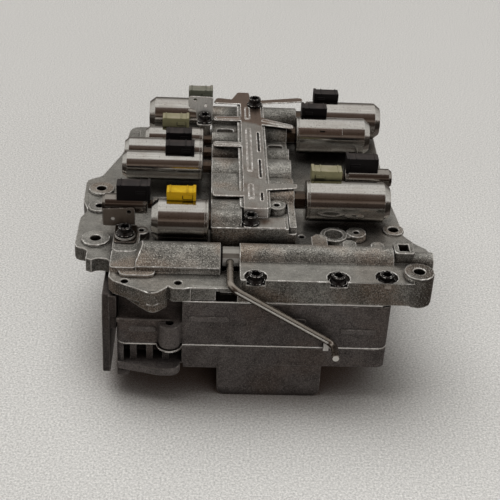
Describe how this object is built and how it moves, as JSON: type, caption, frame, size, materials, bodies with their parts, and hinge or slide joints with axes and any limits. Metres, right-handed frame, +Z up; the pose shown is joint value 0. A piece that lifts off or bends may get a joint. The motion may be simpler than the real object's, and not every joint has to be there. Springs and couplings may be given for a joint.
{
  "type": "transmission valve body",
  "caption": "Hydraulic valve body of a gearbox: stacked castings with separator plates, solenoids with plug sockets, a stamped retainer and a manual valve moved by a link rod",
  "frame": {"origin": "on the flat resting face under the base housing; X = 0 and Y = 0 are near the middle of the castings", "axes": "+X along the manual valve towards its end plug, +Y away from the manual valve's face, +Z up through the stack"},
  "size_m": [0.2717, 0.299, 0.145],
  "materials": {
    "black_bolt": "black phosphate",
    "black_plastic": "moulded",
    "bright_steel": "turned, satin",
    "cast_dark": "sand cast, darkened",
    "cast_light": "sand cast, decks machined",
    "grey_plastic": "moulded",
    "olive_plastic": "moulded",
    "sleeve_steel": "brown oiled steel",
    "stamped_steel": "stamped, worn",
    "yellow_plastic": "moulded"
  },
  "bodies": {
    "root": {"upper_body": "cast_light", "solenoid_body": "cast_light", "base_housing": "cast_dark", "lower_body": "cast_dark", "middle_body": "cast_dark", "side_cover": "cast_dark", "lower_separator_plate": "stamped_steel", "upper_separator_plate": "stamped_steel", "retainer_plate": "stamped_steel", "front_bracket": "stamped_steel", "rear_bracket": "stamped_steel", "line_pressure_plug": "stamped_steel", "converter_pressure_plug": "stamped_steel", "plug_key": "stamped_steel", "front_bolt_1": "black_bolt", "front_bolt_2": "black_bolt", "front_bolt_3": "black_bolt", "retainer_front_bolt": "black_bolt", "retainer_rear_bolt": "black_bolt", "front_bracket_bolt": "black_bolt", "rear_bracket_bolt": "black_bolt", "left_rear_solenoid_can": "bright_steel", "left_fourth_solenoid_can": "bright_steel", "left_third_solenoid_can": "bright_steel", "left_second_solenoid_can": "bright_steel", "left_front_solenoid_can": "bright_steel", "right_rear_solenoid_can": "bright_steel", "right_middle_solenoid_can": "bright_steel", "right_front_solenoid_can": "bright_steel", "left_switch_solenoid_can": "bright_steel", "right_switch_solenoid_can": "bright_steel", "bore_plug": "bright_steel", "line_pressure_spring": "bright_steel", "converter_pressure_spring": "bright_steel", "left_rear_solenoid_sleeve": "sleeve_steel", "left_fourth_solenoid_sleeve": "sleeve_steel", "left_third_solenoid_sleeve": "sleeve_steel", "left_second_solenoid_sleeve": "sleeve_steel", "left_front_solenoid_sleeve": "sleeve_steel", "right_rear_solenoid_sleeve": "sleeve_steel", "right_middle_solenoid_sleeve": "sleeve_steel", "right_front_solenoid_sleeve": "sleeve_steel", "left_switch_solenoid_sleeve": "sleeve_steel", "right_switch_solenoid_sleeve": "sleeve_steel", "left_rear_connector": "grey_plastic", "left_fourth_connector": "olive_plastic", "left_third_connector": "black_plastic", "left_second_connector": "black_plastic", "left_front_connector": "yellow_plastic", "right_rear_connector": "black_plastic", "right_middle_connector": "black_plastic", "right_front_connector": "olive_plastic", "left_switch_connector": "black_plastic", "right_switch_connector": "black_plastic"},
    "valve": {"manual_valve": "bright_steel"},
    "link": {"manual_valve_rod": "bright_steel"},
    "line_valve": {"line_pressure_valve": "bright_steel"},
    "converter_valve": {"converter_pressure_valve": "bright_steel"}
  },
  "joints": [
    {"name": "manual_valve_slide", "type": "slide", "parent": "root", "child": "valve", "axis": [1, 0, 0], "range_m": [-0.0038, 0.0038]},
    {"name": "rod_swing", "type": "hinge", "parent": "valve", "child": "link", "pos_m": [-0.02, -0.069, 0.1035], "axis": [0, -1, 0], "range_deg": [0, 70]},
    {"name": "line_pressure_slide", "type": "slide", "parent": "root", "child": "line_valve", "axis": [1, 0, 0], "range_m": [0, 0.004], "stiffness_N_per_m": 1500, "deforming": ["line_pressure_spring"]},
    {"name": "converter_pressure_slide", "type": "slide", "parent": "root", "child": "converter_valve", "axis": [1, 0, 0], "range_m": [0, 0.004], "stiffness_N_per_m": 1500, "deforming": ["converter_pressure_spring"]}
  ]
}
